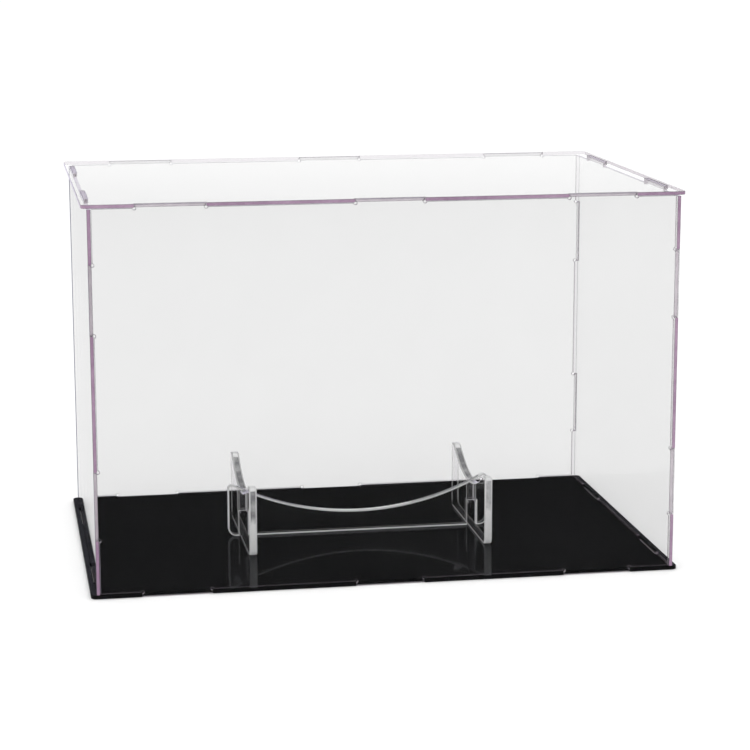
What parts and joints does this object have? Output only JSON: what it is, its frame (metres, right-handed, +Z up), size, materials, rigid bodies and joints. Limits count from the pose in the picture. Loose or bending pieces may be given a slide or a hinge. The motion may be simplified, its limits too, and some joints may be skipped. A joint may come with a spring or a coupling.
{
  "type": "football display case",
  "caption": "Clear acrylic box of tabbed panels over a glossy black base, with a loose slotted cradle stand inside that holds a football lengthwise.",
  "frame": {"origin": "middle of the base's underside, the face the case stands on", "axes": "+X along the case's long side to the right, +Y from the front wall to the back wall, +Z up"},
  "size_m": [0.33, 0.216, 0.215],
  "materials": {
    "black_acrylic": "polished",
    "clear_acrylic": "polished",
    "stand_acrylic": "polished"
  },
  "bodies": {
    "base": {"base_plate": "black_acrylic"},
    "cover": {"front_wall": "clear_acrylic", "back_wall": "clear_acrylic", "left_wall": "clear_acrylic", "right_wall": "clear_acrylic"},
    "top": {"top_plate": "clear_acrylic"},
    "stand": {"left_cradle": "stand_acrylic", "right_cradle": "stand_acrylic"},
    "bar": {"crossbar": "stand_acrylic"}
  },
  "joints": [
    {"name": "cover_lift", "type": "slide", "parent": "base", "child": "cover", "axis": [0, 0, 1], "range_m": [0, 0.25]},
    {"name": "lid_lift", "type": "slide", "parent": "cover", "child": "top", "axis": [0, 0, 1], "range_m": [0, 0.12]},
    {"name": "stand_lift", "type": "slide", "parent": "base", "child": "stand", "axis": [0, 0, 1], "range_m": [0, 0.12]},
    {"name": "crossbar_lift", "type": "slide", "parent": "stand", "child": "bar", "axis": [0, 0, 1], "range_m": [0, 0.04]}
  ]
}
